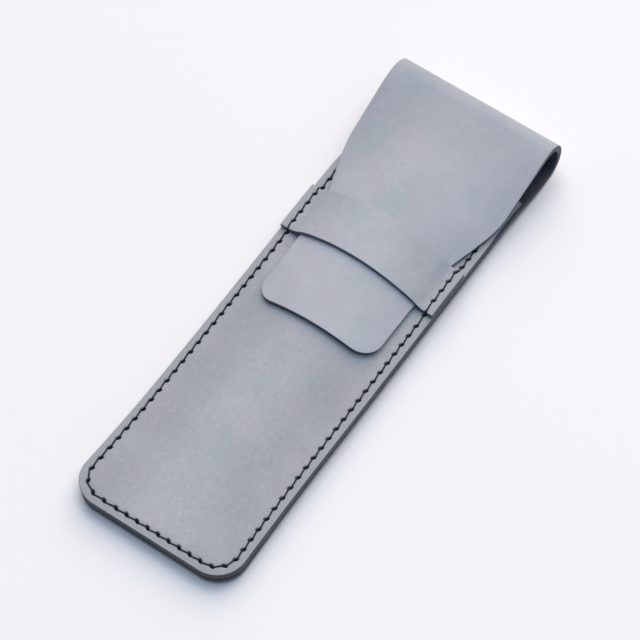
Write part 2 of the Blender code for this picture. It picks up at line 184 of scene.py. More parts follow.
class PencilCaseStudio(bpy.types.PropertyGroup):
    floor: bpy.props.FloatVectorProperty(
        name="Floor", description="Colour of the studio floor",
        default=(0.905, 0.900, 0.945), subtype="COLOR", min=0, max=1,
    )
    key: bpy.props.FloatVectorProperty(
        name="Key Light", description="Colour of the large soft lamp behind the case",
        default=(1.0, 0.85, 0.667), subtype="COLOR", min=0, max=1,
    )
    key_power: bpy.props.FloatProperty(
        name="Key Power", description="Power of the large soft lamp behind the case",
        default=227.0, unit="POWER", min=0,
    )
    fill: bpy.props.FloatVectorProperty(
        name="Fill Light", description="Colour of the soft lamp overhead",
        default=(0.667, 0.821, 1.0), subtype="COLOR", min=0, max=1,
    )
    fill_power: bpy.props.FloatProperty(
        name="Fill Power", description="Power of the soft lamp overhead",
        default=45.6, unit="POWER", min=0,
    )
    sky: bpy.props.FloatVectorProperty(
        name="Room Light", description="Colour of the even light from all round",
        default=(0.72, 0.835, 1.0), subtype="COLOR", min=0, max=1,
    )
    sky_strength: bpy.props.FloatProperty(
        name="Room Strength", description="Strength of the even light from all round",
        default=0.18, min=0,
    )
    azimuth: bpy.props.FloatProperty(
        name="Camera Azimuth", description="Direction of the camera round the case",
        default=math.radians(41.48), unit="ROTATION",
    )
    elevation: bpy.props.FloatProperty(
        name="Camera Elevation", description="Height of the camera above the horizon",
        default=math.radians(59.75), unit="ROTATION",
    )
    roll: bpy.props.FloatProperty(
        name="Camera Roll", description="Turn of the camera about its own axis",
        default=math.radians(-7.11), unit="ROTATION",
    )
    distance: bpy.props.FloatProperty(
        name="Camera Distance", description="Distance of the camera from the point that it looks at",
        default=881.5 * MM, unit="LENGTH",
    )


class Seam:
    """The line of stitches: down the left side, round the bottom and up the right side."""

    INSET = 2.7 * MM
    END_INSET = 2.9 * MM
    PITCH = 3.95 * MM
    SLANT = math.radians(-37.7)
    # Hand stitches: how far they stray from even spacing, at distances along the seam
    STRAY_AT = (0, 54, 74, 106, 138, 162, 190, 216, 241, 266, 300, 310, 320, 331, 352)
    STRAY = (-1.0, -1.2, -1.8, -1.1, -0.8, 1.3, 0.1, -0.6, 0.3, 0.0, -0.8, 1.4, 1.5, 0.0, 0.0)

    def __init__(self, sizes):
        self.x = sizes.width / 2 - self.INSET
        self.top = sizes.mouth - self.END_INSET
        self.corner = sizes.corner_radius
        self.radius = self.corner - self.INSET
        self.side = self.top - self.corner
        self.arc = math.pi / 2 * self.radius
        self.length = 2 * self.side + 2 * self.arc + 2 * (self.x - self.radius)
        stitches = round(self.length / self.PITCH)
        self.pitch = self.length / stitches
        even = np.arange(stitches + 1) * self.pitch
        stray = np.interp(even / MM, self.STRAY_AT, self.STRAY) * MM
        self.places = [self.at(travel) for travel in even + stray]
        self.points = np.array([place[:2] for place in self.places])
        headings = np.array([place[2] for place in self.places]) + self.SLANT
        self.ways = np.stack([np.cos(headings), np.sin(headings)], 1)

    def at(self, travel):
        """(x, y, heading) after this much of the seam."""
        if travel > self.length / 2:
            x, y, heading = self.at(self.length - travel)
            return -x, y, -heading
        if travel <= self.side:
            return -self.x, self.top - travel, -math.pi / 2
        travel -= self.side
        if travel <= self.arc:
            turn = travel / self.radius
            x = -self.x + self.radius - self.radius * math.cos(turn)
            return x, self.corner - self.radius * math.sin(turn), -math.pi / 2 + turn
        return -self.x + self.radius + travel - self.arc, self.INSET, 0.0

    def distance(self, x, y):
        """How far points are from the seam's line."""
        x, y = np.abs(x), np.asarray(y)
        centre_x, centre_y = self.x - self.radius, self.corner
        beside = np.abs(x - self.x)
        beyond = np.maximum(y - self.top, 0)
        side = np.hypot(beside, beyond)
        base = np.abs(y - self.INSET)
        turn = np.abs(np.hypot(x - centre_x, y - centre_y) - self.radius)
        low = np.where(x < centre_x, base, turn)
        return np.where(y > centre_y, side, low)


class HandMade:
    """How the case strays from its plan: how far each side stands out, and the back's rim hangs."""

    PLACES = (0, 8, 16, 26, 40, 70, 100, 120, 138, 152, 166, 181)
    LEFT = (1.50, 1.35, 0.85, 0.42, 0.03, 0.00, 0.25, 0.55, 0.60, 0.60, 0.60, 0.60)
    RIGHT = (0.80, 0.66, 0.46, 0.33, 0.22, 0.28, 0.22, 0.18, 0.30, 0.58, 0.95, 0.80)
    DROP = (1.30, 1.20, 1.00, 0.70, 0.38, 0.18, 0.12, 0.12, 0.0, -0.5, 0.45, 0.9)
    GRID = np.arange(-10, 200) * MM
    SMOOTHING = 10

    def __init__(self, half):
        self.half = half
        stations = (self.LEFT, self.RIGHT, self.DROP)
        self.left, self.right, self.drop = map(self.smoothed, stations)

    def smoothed(self, stations):
        """The stations as a smooth line over GRID."""
        line = np.interp(self.GRID, np.array(self.PLACES) * MM, stations)
        window = np.hanning(2 * self.SMOOTHING + 1)
        padded = np.pad(line, self.SMOOTHING, mode="edge")
        return np.convolve(padded, window / window.sum(), "valid") * MM

    def move(self, points):
        """Shift points (x, y, ...) sideways and lengthwise, in place."""
        u = points[:, 0] / self.half
        left, right = (np.interp(points[:, 1], self.GRID, side) for side in (self.left, self.right))
        points[:, 0] += (left + right) / 2 * u + (right - left) / 2 * u**2
        points[:, 1] += SEWN_END
        return points


class CaseShape:
    """Lines and faces of the closed case. Y is counted from the sewn end here."""

    # The pocket: its dome, its back's belly, its front's leather, its seam and its mouth
    SEAM_TOP = 4.0 * MM
    CROWN_START, CROWN_FULL, CROWN_MARGIN = 3 * MM, 117 * MM, 6 * MM
    CROWN_POWER = 1.2
    BELLY, BELLY_FULL = 2.7 * MM, 60 * MM
    FRONT_LEATHER, EDGE_SPREAD = 2.4 * MM, 0.28
    SPREAD_START, SPREAD_END = 12 * MM, 55 * MM
    SLIT_HALF_WIDTH, PIT_FLOOR, PIT_RIM = 0.55 * MM, 0.6, 1.15
    FRONT_GROOVE, STRAP_GROOVE, GROOVE_WIDTH = 0.16 * MM, 0.12 * MM, 0.75 * MM
    LIFT_START, LIFT_PAST_MOUTH, MOUTH_LIFT = 141 * MM, 6 * MM, 0.4 * MM
    NECK_START, NECK_END, NECK_INSET = 136 * MM, 150 * MM, 0.6 * MM

    # The strap: where it lies, its ends' height and flat part, and its play over the tongue
    STRAP_MIDDLE, STRAP_LEATHER, STRAP_FOOT = 118 * MM, 1.55 * MM, 4.15 * MM
    STRAP_ROLL, STRAP_FLAT, STRAP_SKEW = 2.2 * MM, 3.1 * MM, 0.8 * MM
    STRAP_PLAY, STRAP_SIDE_PLAY = 0.08 * MM, 0.1 * MM

    # The fold: its height, its twist, how its leather swells at the nose, and its stretches
    FOLD_HEIGHT, TWIST, NOSE_SWELL, BENDS = 14.5 * MM, 0.8 * MM, 0.25, 4

    # The flap: its tongue's tip, gaps, shift to the right and tilt, its shoulders and its bow
    TIP, TIP_RADIUS = 84.0 * MM, 7.0 * MM
    TONGUE_OVER_POCKET, TONGUE_OVER_SEAM = 0.5 * MM, 0.35 * MM
    TONGUE_SHIFT, SHIFT_PAST_SHOULDER = 0.65 * MM, 10 * MM
    TONGUE_TILT, TILT_START = 0.35 * MM, 96 * MM
    SHOULDER_START, SHOULDER_END = 116.5 * MM, 150.5 * MM
    CURVE_ROUNDING, EDGE_BLEND = 0.15, 0.5 * MM

    # Where the back starts to bend and the flap is stiff again, and both end before the fold
    BACK_BEND, FLAP_BEND, BEFORE_FOLD = 157 * MM, 130 * MM, 0.5 * MM

    def __init__(self, sizes):
        self.sizes = sizes
        self.half = sizes.width / 2
        self.tongue_half = sizes.tongue_width / 2
        self.seam = seam = Seam(sizes)
        self.radius = self.FOLD_HEIGHT / 2
        self.fold_y = sizes.length - self.radius
        holes = round(sizes.strap_width / seam.pitch)
        first = round((seam.top - self.STRAP_MIDDLE) / seam.pitch - (holes - 1) / 2)
        self.strap_y = seam.top - (first + (holes - 1) / 2) * seam.pitch
        self.strap_low = self.strap_y - sizes.strap_width / 2
        self.strap_high = self.strap_y + sizes.strap_width / 2
        rest_z = self.SEAM_TOP + self.panel_crown(0, self.strap_y)
        rest_z += self.TONGUE_OVER_POCKET + sizes.leather
        reach = Vector((self.fold_y - self.strap_y, self.radius - rest_z))
        self.slope = math.asin(self.radius / reach.length) - math.atan2(-reach.y, reach.x)
        self.root_y = self.fold_y - self.radius * math.sin(self.slope)
        self.root_z = self.radius + self.radius * math.cos(self.slope)
        self.bend_angle = (math.pi + self.slope) / self.BENDS
        self.edge_z = self.SEAM_TOP + self.TONGUE_OVER_SEAM + sizes.leather
        self.hand = HandMade(self.half)

    def dome(self, x):
        """How much of the pocket's dome and belly is left at x."""
        across = np.minimum(np.abs(x) / (self.half - self.CROWN_MARGIN), 1)
        return (1 - across**2) ** self.CROWN_POWER

    def panel_crown(self, x, y):
        return self.sizes.crown * smoothstep(self.CROWN_START, self.CROWN_FULL, y) * self.dome(x)

    def panel_lift(self, y):
        """How far the front panel's sides stand off the back near the mouth."""
        lift_end = self.sizes.mouth + self.LIFT_PAST_MOUTH
        return self.MOUTH_LIFT * smoothstep(self.LIFT_START, lift_end, y)

    def panel_height(self, x, y):
        return self.SEAM_TOP + self.panel_lift(y) + self.panel_crown(x, y)

    def panel_half(self, y):
        return self.half - self.NECK_INSET * smoothstep(self.NECK_START, self.NECK_END, y)

    def back_drop(self, x, y, z=0.0):
        """How far the back leather hangs down: by its rim, and more in the pocket's middle."""
        belly = smoothstep(self.CROWN_START, self.BELLY_FULL, y) * self.dome(x)
        rim = np.interp(y, self.hand.GRID, self.hand.drop)
        return (rim + (self.BELLY - rim) * belly) * (1 - z / self.FOLD_HEIGHT) ** 4

    def flap_middle(self, y):
        return self.root_z - (self.root_y - y) * math.tan(self.slope)

    def twist(self, x):
        """How much higher the fold is at x than in its middle: the left side is the taller one."""
        return -self.TWIST * x / self.half

    def flap_curve(self, y):
        """How strongly the flap is bowed: its edges lie on the pocket and rise towards the fold."""
        held = self.flap_middle(np.minimum(y, self.strap_high)) - self.edge_z
        along = (y - self.strap_high) / (self.root_y - self.strap_high)
        bow = held * (1 - soft_ramp(along, self.CURVE_ROUNDING))
        bow = bow * (self.flap_half(y) / self.tongue_half) ** 2
        free = (self.flap_middle(y) - bow - self.edge_z) / self.EDGE_BLEND
        edge = self.edge_z + self.EDGE_BLEND * np.log1p(np.exp(free))
        edge = edge - self.EDGE_BLEND * math.log(2) * (1 - np.clip(along, 0, 1))
        return (self.flap_middle(y) - edge) / self.flap_half(y) ** 2

    def flap_top(self, x, y):
        turned = self.twist(x) * smoothstep(self.strap_high, self.root_y, y)
        tilted = 1 - smoothstep(self.TILT_START, self.strap_low, y)
        turned = turned + self.TONGUE_TILT * x / self.tongue_half * tilted
        return self.flap_middle(y) + turned - self.flap_curve(y) * x**2

    def flap_half(self, y):
        wide = smoothstep(self.SHOULDER_START, self.SHOULDER_END, y)
        return self.tongue_half + (self.half - self.tongue_half) * wide

    def tongue_shift(self, y):
        """How far the tongue lies to the right of the case's middle."""
        start = self.SHOULDER_START + self.SHIFT_PAST_SHOULDER
        return self.TONGUE_SHIFT * (1 - smoothstep(start, self.SHOULDER_END, y))

    def strap_top(self, x, y):
        """Height of the strap's outer face: an arch over the tongue that rolls down to its foot."""
        start = self.flap_half(y) + np.sign(x) * self.tongue_shift(y) - self.STRAP_ROLL
        x = np.abs(x)
        end = self.half - self.STRAP_FLAT

        def arch(x):
            tilt = 2 * self.flap_curve(y) * x
            lift = (self.STRAP_PLAY + self.STRAP_LEATHER) * np.sqrt(1 + tilt**2)
            return self.flap_middle(y) - self.flap_curve(y) * x**2 + lift, -tilt

        high, fall = arch(start)
        foot = self.STRAP_FOOT + self.STRAP_LEATHER
        t = np.clip((x - start) / (end - start), 0, 1)
        roll = high * (1 - 3 * t**2 + 2 * t**3) + foot * (3 * t**2 - 2 * t**3)
        roll += fall * (end - start) * (t - 2 * t**2 + t**3)
        return np.where(x < start, arch(x)[0], roll)

    def strap_under(self, x, y):
        """Height of the strap's inner face, clear of the tongue and of the panel."""
        tilt = self.strap_top(x + SLOPE_STEP, y) - self.strap_top(x - SLOPE_STEP, y)
        tilt = tilt / (2 * SLOPE_STEP)
        under = self.strap_top(x, y) - self.STRAP_LEATHER * np.sqrt(1 + tilt**2)
        over_tongue = np.abs(x - self.tongue_shift(y)) < self.flap_half(y) + self.STRAP_SIDE_PLAY
        clear = np.where(over_tongue, self.flap_top(x, y) + self.STRAP_PLAY, self.STRAP_FOOT)
        return np.maximum(under, clear)

    def stitch_pits(self, x, y, depth):
        """How deep each point lies in a stitch's slit, from 0 to depth."""
        half_length = self.sizes.slit / 2
        result = np.zeros(len(x))
        for point, way in zip(self.seam.points, self.seam.ways):
            dx, dy = x - point[0], y - point[1]
            near = np.flatnonzero(np.abs(dx) + np.abs(dy) < 3 * half_length)
            if not len(near):
                continue
            dx, dy = dx[near], dy[near]
            along = (dx * way[0] + dy * way[1]) / half_length
            across = (dy * way[0] - dx * way[1]) / self.SLIT_HALF_WIDTH
            pit = 1 - smoothstep(self.PIT_FLOOR, self.PIT_RIM, np.sqrt(along**2 + across**2))
            result[near] = np.maximum(result[near], pit)
        return result * depth

    def seam_relief(self, x, y, groove, margin):
        """How far a sewn face lies below its plain height, pits left out."""
        line = groove * np.exp(-((self.seam.distance(x, y) / self.GROOVE_WIDTH) ** 2))
        outside = np.maximum(np.abs(x) - self.seam.x, 0)
        low_corner = np.hypot(
            np.maximum(np.abs(x) - (self.half - self.seam.corner), 0),
            np.maximum(self.seam.corner - y, 0),
        )
        outside = np.maximum(outside, low_corner - self.seam.radius)
        return line + margin * smoothstep(0, self.seam.INSET, outside)


def edge_drop(distance):
    """How far a face falls near the sheet's edge, on a quarter circle."""
    inside = np.clip(1 - distance / ROUNDING, 0, 1)
    return ROUNDING * (1 - np.sqrt(1 - inside**2))


def add_piece(name, data, materials):
    """Put a mesh into the scene as a piece, with its materials."""
    for material in materials:
        data.materials.append(material)
    piece = bpy.data.objects.new(name, data)
    bpy.context.scene.collection.objects.link(piece)
    return piece


class Sheet:
    """One sheet of leather as it is built up.

    place(x, y, depth) puts its points in the case. relief(x, y) says how far the grain face is
    sunk, and how deep in stitch slits it is.
    """

    def __init__(self, place, thickness, relief=lambda x, y: (0 * x, 0 * x)):
        self.place, self.thickness, self.relief = place, thickness, relief
        self.points, self.depths, self.pits = [], [], []
        self.faces, self.finishes = [], []
        self.count = 0

    def add(self, x, y, distance, grain):
        """Add points of the grain or the flesh face, this far from the edge. Give their numbers."""
        numbers = np.arange(self.count, self.count + x.size).reshape(x.shape)
        drop = np.broadcast_to(edge_drop(distance), x.shape).ravel()
        x, y = x.ravel(), y.ravel()
        sink, pits = self.relief(x, y) if grain else (0, 0 * x)
        depth = drop + sink if grain else self.thickness - drop
        self.points.append(self.place(x, y, depth))
        self.depths.append(depth)
        self.pits.append(pits)
        self.count += x.size
        return numbers

    def quads(self, numbers, finish):
        """Fill a grid of point numbers with faces."""
        a, b = numbers[:-1, :-1], numbers[:-1, 1:]
        c, d = numbers[1:, 1:], numbers[1:, :-1]
        faces = np.stack([a.ravel(), b.ravel(), c.ravel(), d.ravel()], 1).tolist()
        self.faces += faces
        self.finishes += [finish] * len(faces)

    def face(self, numbers, finish):
        self.faces.append([int(n) for n in numbers])
        self.finishes.append(finish)

    def build(self, name, materials, hand):
        points = hand.move(np.concatenate(self.points))
        data = bpy.data.meshes.new(name)
        data.from_pydata(points.tolist(), [], self.faces)
        piece = add_piece(name, data, materials)
        data.polygons.foreach_set("material_index", self.finishes)
        for key, values in (("depth", self.depths), ("pit", self.pits)):
            values = np.concatenate(values) / MM
            data.attributes.new(key, "FLOAT", "POINT").data.foreach_set("value", values)
        mesh = bmesh.new()
        mesh.from_mesh(data)
        bmesh.ops.recalc_face_normals(mesh, faces=mesh.faces)
        mesh.to_mesh(data)
        mesh.free()
        data.shade_smooth()
        data.set_sharp_from_angle(angle=CREASE)
        return piece


def travel_along(line):
    """How far along a line each of its points is."""
    return np.concatenate([[0], np.cumsum(np.linalg.norm(np.diff(line, axis=0), axis=1))])


def resample(line, steps):
    """Points and inward normals at distances along a dense line with its sheet on its left."""
    travel = travel_along(line)
    ways = np.gradient(line, travel, axis=0)
    ways /= np.linalg.norm(ways, axis=1)[:, None]
    x, y = (np.interp(steps, travel, line[:, i]) for i in (0, 1))
    wx, wy = (np.interp(steps, travel, ways[:, i]) for i in (0, 1))
    size = np.hypot(wx, wy)
    return np.stack([x, y], 1), np.stack([-wy / size, wx / size], 1)


def blended_patch(bottom, left, right):
    """A grid of points between three curved sides and a straight one across their open end."""
    u, v = (travel_along(side) for side in (bottom, right))
    u, v = (u / u[-1])[None, :, None], (v / v[-1])[:, None, None]
    ceiling = left[-1] * (1 - u[0]) + right[-1] * u[0]
    low_to_high = (1 - v) * bottom[None] + v * ceiling[None]
    left_to_right = (1 - u) * left[:, None] + u * right[:, None]
    left_corners = (1 - v) * bottom[0] + v * left[-1]
    right_corners = (1 - v) * bottom[-1] + v * right[-1]
    return low_to_high + left_to_right - (1 - u) * left_corners - u * right_corners


def tongue_sheet(sheet, outline, turn, insets, step, keep, open_end=False):
    """Fill a sheet whose outline is a U: a round-cornered end and an open or joined other end.

    outline is its right half, from the middle of the round end up to the other end, and turn is
    how far along it the corner's middle is. insets are the lines of points beside the edge on
    the grain face. Points stand step apart along the edge, and every keep-th one carries on
    inwards.
    """
    total = travel_along(outline)[-1]
    fine = EDGE_LINES if open_end else EDGE_LINES[:2]
    gap = 0.1 * MM
    even_end = total - fine[-1] - gap
    steps = round(even_end / step / keep) * keep
    half = np.concatenate([np.linspace(0, even_end, steps + 1), total - np.array(fine[::-1])])
    kept_half = [*range(0, steps, keep), *range(steps, len(half))]
    corner = kept_half[int(np.argmin(np.abs(half[kept_half] - turn)))]
    points, normals = resample(outline, half)
    mirror = np.array([-1, 1])
    points = np.concatenate([points[:0:-1] * mirror, points])
    normals = np.concatenate([normals[:0:-1] * mirror, normals])
    top = len(half) - 1
    kept = sorted({top - i for i in kept_half} | {top + i for i in kept_half})
    low, high = kept.index(top - corner), kept.index(top + corner)

    def fill(insets, grain):
        """Make one face, and give its point numbers along the edge and across the other end."""

        def put(x, y, inset):
            distance = np.minimum(inset, outline[-1, 1] - y) if open_end else inset
            return sheet.add(x, y, distance, grain)

        distances = np.array(insets[:-1])
        grid = points[:, None, :] + normals[:, None, :] * distances[None, :, None]
        strip = put(grid[..., 0], grid[..., 1], distances)
        finish = GRAIN if grain else FLESH
        sheet.quads(strip[:, :RIM_LINES], CUT_EDGE)
        sheet.quads(strip[:, RIM_LINES - 1 :], finish)
        inner = points[kept] + normals[kept] * insets[-1]
        patch = blended_patch(inner[low : high + 1], inner[low::-1], inner[high:])
        numbers = put(patch[..., 0], patch[..., 1], insets[-1])
        sheet.quads(numbers, finish)
        border = [*numbers[::-1, 0], *numbers[0, 1:-1], *numbers[:, -1]]
        for i, (a, b) in enumerate(zip(kept, kept[1:])):
            sheet.face([*strip[a : b + 1, -1], border[i + 1], border[i]], finish)
        return strip[:, 0], strip[0], numbers[-1], strip[-1, ::-1]

    edges, lefts, middles, rights = zip(fill(insets, True), fill(PLAIN_LINES, False))
    sheet.quads(np.stack(edges, 1), CUT_EDGE)
    sheet.face([*lefts[0], middles[0][0], middles[1][0], *lefts[1][::-1]], CUT_EDGE)
    sheet.quads(np.stack(middles), CUT_EDGE)
    sheet.face([middles[0][-1], *rights[0], *rights[1][::-1], middles[1][-1]], CUT_EDGE)


def crossed_sheet(sheet, columns, rows, open_rows=False):
    """Fill a sheet from edge to edge, with points where columns across and rows along it meet."""
    x, y = np.meshgrid(columns, rows)
    distance = np.minimum(x - columns[0], columns[-1] - x)
    if open_rows:
        distance = np.minimum(distance, np.minimum(y - rows[0], rows[-1] - y))
    grain, flesh = sheet.add(x, y, distance, True), sheet.add(x, y, distance, False)
    rim = distance < RIM
    rim = rim[:-1, :-1] & rim[:-1, 1:] & rim[1:, 1:] & rim[1:, :-1]
    for numbers, finish in ((grain, GRAIN), (flesh, FLESH)):
        first = len(sheet.finishes)
        sheet.quads(numbers, finish)
        for i in np.flatnonzero(rim.ravel()):
            sheet.finishes[first + i] = CUT_EDGE
    for side in (0, -1):
        sheet.quads(np.stack([grain[:, side], flesh[:, side]], 1), CUT_EDGE)
        sheet.quads(np.stack([grain[side], flesh[side]], 1), CUT_EDGE)


def bowed(height):
    """A place function that lays a sheet under the face z = height(x, y)."""

    def place(x, y, depth):
        slope_x = height(x + SLOPE_STEP, y) - height(x - SLOPE_STEP, y)
        slope_y = height(x, y + SLOPE_STEP) - height(x, y - SLOPE_STEP)
        slope_x, slope_y = slope_x / (2 * SLOPE_STEP), slope_y / (2 * SLOPE_STEP)
        size = np.sqrt(slope_x**2 + slope_y**2 + 1)
        z = height(x, y) - depth / size
        return np.stack([x + depth * slope_x / size, y + depth * slope_y / size, z], 1)

    return place


def evenly(start, end, step):
    return np.linspace(start, end, max(1, round(abs(end - start) / step)) + 1)


def edged(low, high, step, lines):
    """Even steps from low to high, with finer lines beside both ends."""
    edge = np.array(lines)
    middle = evenly(low + edge[-1], high - edge[-1], step)
    return np.concatenate([low + edge[:-1], middle, (high - edge[:-1])[::-1]])


def round_end(half, end, radius, top, half_width=None):
    """Right half of a U-shaped outline, as a dense line from the middle of its round end.

    Also says how far along the line the corner's middle is.
    """
    turn = np.linspace(-math.pi / 2, 0, 200)
    across = evenly(0, half - radius, OUTLINE_STEP)
    base = np.stack([across, np.full_like(across, end)], 1)
    arc = np.stack([half - radius + radius * np.cos(turn), end + radius + radius * np.sin(turn)], 1)
    y = evenly(end + radius, top, OUTLINE_STEP)
    x = half_width(y) if half_width else np.full_like(y, half)
    line = np.concatenate([base, arc[1:], np.stack([x, y], 1)[1:]])
    return line, half - radius * (1 - math.pi / 4)


class Finish:
    """A material being built from nodes."""

    def __init__(self, name):
        self.material = bpy.data.materials.new(name)
        self.material.use_nodes = True
        self.tree = self.material.node_tree
        self.shader = self.tree.nodes["Principled BSDF"]
        self.position = self.node("ShaderNodeTexCoord").outputs["Object"]

    @cached_property
    def axes(self):
        """X, Y and Z of the place on the piece."""
        split = self.node("ShaderNodeSeparateXYZ")
        self.link(self.position, split.inputs["Vector"])
        return split.outputs

    def node(self, kind, **values):
        made = self.tree.nodes.new(kind)
        for key, value in values.items():
            setattr(made, key, value)
        return made

    def link(self, source, target):
        self.tree.links.new(source, target)

    def put(self, value, socket):
        """Link another node's output to a socket, or set the socket to a number or a colour."""
        if isinstance(value, bpy.types.NodeSocket):
            self.link(value, socket)
        elif isinstance(value, (int, float)):
            socket.default_value = value
        else:
            socket.default_value = (*value[:3], 1)

    def set(self, **values):
        for key, value in values.items():
            self.shader.inputs[key.replace("_", " ")].default_value = value

    def attribute(self, name):
        return self.node("ShaderNodeAttribute", attribute_name=name).outputs["Fac"]

    def noise(self, scale, detail=2.0, roughness=0.5, stretch=None, distortion=0.0, seed=0.0):
        texture = self.node("ShaderNodeTexNoise", noise_dimensions="4D")
        names = ("Scale", "Detail", "Roughness", "Distortion", "W")
        for name, value in zip(names, (scale, detail, roughness, distortion, seed)):
            texture.inputs[name].default_value = value
        vector = self.position
        if stretch:
            mapping = self.node("ShaderNodeMapping")
            mapping.inputs["Scale"].default_value = stretch
            self.link(self.position, mapping.inputs["Vector"])
            vector = mapping.outputs["Vector"]
        self.link(vector, texture.inputs["Vector"])
        return texture.outputs["Fac"]

    def math(self, operation, *values):
        made = self.node("ShaderNodeMath", operation=operation)
        for socket, value in zip(made.inputs, values):
            self.put(value, socket)
        return made.outputs["Value"]

    def ranged(self, value, low, high, to_low=0.0, to_high=1.0):
        """A value's way from low to high, as a smooth way from to_low to to_high."""
        made = self.node("ShaderNodeMapRange", clamp=True, interpolation_type="SMOOTHSTEP")
        for socket, number in zip(list(made.inputs)[1:5], (low, high, to_low, to_high)):
            socket.default_value = number
        self.link(value, made.inputs["Value"])
        return made.outputs["Result"]

    def along(self, low, high, to_low=0.0, to_high=1.0):
        """A share that changes between two distances from the sewn end."""
        return self.ranged(self.axes["Y"], SEWN_END + low, SEWN_END + high, to_low, to_high)

    def mix(self, factor, a, b, blend="MIX"):
        made = self.node("ShaderNodeMix", data_type="RGBA", blend_type=blend)
        for number, value in ((0, factor), (6, a), (7, b)):
            self.put(value, made.inputs[number])
        return made.outputs[2]

    def tint(self, colour, tints):
        """Multiply a colour by each tint, as far as its share says."""
        for share, tint in tints:
            colour = self.mix(share, colour, tint, "MULTIPLY")
        return colour

    def bump(self, height, strength, distance, onto=None):
        made = self.node("ShaderNodeBump")
        made.inputs["Strength"].default_value = strength
        made.inputs["Distance"].default_value = distance
        self.link(height, made.inputs["Height"])
        if onto:
            self.link(onto, made.inputs["Normal"])
        return made.outputs["Normal"]

    def finish(self, colour, roughness, normal):
        self.link(colour, self.shader.inputs["Base Color"])
        self.link(roughness, self.shader.inputs["Roughness"])
        self.link(normal, self.shader.inputs["Normal"])
        return self.material


def grain_finish(colours, name, seed, tint, strength, margin):
    """Matt leather with a soft nap: warm and cool clouds, fine pores, short fibres and specks."""
    f = Finish(name)
    clouds = f.noise(52, 2, 0.5, seed=seed)
    tones = f.noise(95, 3, 0.55, seed=seed + 1.7)
    patches = f.noise(260, 3, 0.6, seed=seed + 3, distortion=0.5)
    mottle = f.noise(620, 3, 0.6, seed=seed + 4, distortion=0.6)
    nap = f.noise(1300, 4, 0.65, seed=seed + 5)
    fibres = f.noise(900, 3, 0.6, stretch=(1.0, 0.32, 1.0), distortion=1.6, seed=seed + 7)
    specks = f.noise(700, 1, 0.4, seed=seed + 8)
    dots = f.noise(640, 1, 0.4, seed=seed + 11)

    # Each texture adds its colour where it lies between two levels, up to a greatest share
    mottling, roughening, streaking = 0.34 * strength, 0.60 * strength, 0.42 * strength
    layers = (
        (tones, 0.32, 0.68, 0.55, colours.grain_warm),
        (patches, 0.45, 0.25, 0.25, (0.31, 0.325, 0.37)),
        (patches, 0.55, 0.75, 0.25, (0.50, 0.52, 0.57)),
        (mottle, 0.46, 0.25, mottling, (0.30, 0.32, 0.36)),
        (mottle, 0.54, 0.75, mottling, (0.51, 0.525, 0.575)),
        (nap, 0.44, 0.22, roughening, (0.27, 0.29, 0.335)),
        (nap, 0.56, 0.78, roughening, (0.55, 0.57, 0.62)),
        (fibres, 0.60, 0.76, streaking, (0.56, 0.57, 0.61)),
        (specks, 0.66, 0.80, 0.30, (0.60, 0.59, 0.64)),
        (dots, 0.68, 0.80, 0.30, (0.24, 0.25, 0.29)),
    )
    colour = f.mix(f.ranged(clouds, 0.3, 0.7), colours.grain_dark, colours.grain_light)
    for texture, low, high, share, shade in layers:
        colour = f.mix(f.ranged(texture, low, high, 0.0, share), colour, shade)
    colour = f.tint(colour, [(1.0, tint)])

    # A sewn sheet gets painted shade down its flanks, a painted highlight along its middle and
    # painted shade beyond its stitches
    if margin:
        across = f.math("ABSOLUTE", f.axes["X"])
        flank_shade = f.ranged(across, 6 * MM, 20 * MM)
        centre_highlight = f.ranged(across, 14 * MM, 2 * MM)
        colour = f.tint(colour, [(flank_shade, (0.925, 0.93, 0.95)), (centre_highlight, (1.045, 1.05, 1.07))])
        # Painted shade over the margin beyond the stitches, where the rim slopes down
        sides = f.ranged(across, 25.7 * MM, 26.9 * MM, 0.0, margin)
        end = f.along(3.4 * MM, 2.2 * MM, 0.0, margin)
        colour = f.mix(f.math("MAXIMUM", sides, end), colour, (0.33, 0.355, 0.39))

    # Painted shade darkens the leather towards the fold, and it is bluer over the ridge
    fold_shade, ridge = f.along(142 * MM, 180 * MM), f.along(166 * MM, 176 * MM)
    colour = f.tint(colour, [(fold_shade, (0.885, 0.895, 0.895)), (ridge, (0.962, 0.975, 1.0))])
    # Painted shade: the stitch slits are painted near black
    pit = f.ranged(f.attribute("pit"), 0.15, 0.55)
    colour = f.mix(pit, colour, (0.006, 0.007, 0.010))
    roughness = f.ranged(patches, 0.3, 0.7, 0.60, 0.74)
    normal = f.bump(nap, 0.45, 0.06 * MM)
    normal = f.bump(fibres, 0.30, 0.06 * MM, normal)
    normal = f.bump(patches, 0.30, 0.15 * MM, normal)
    f.set(Sheen_Weight=0.12, Sheen_Roughness=0.6, Specular_IOR_Level=0.36)
    return f.finish(colour, roughness, normal)


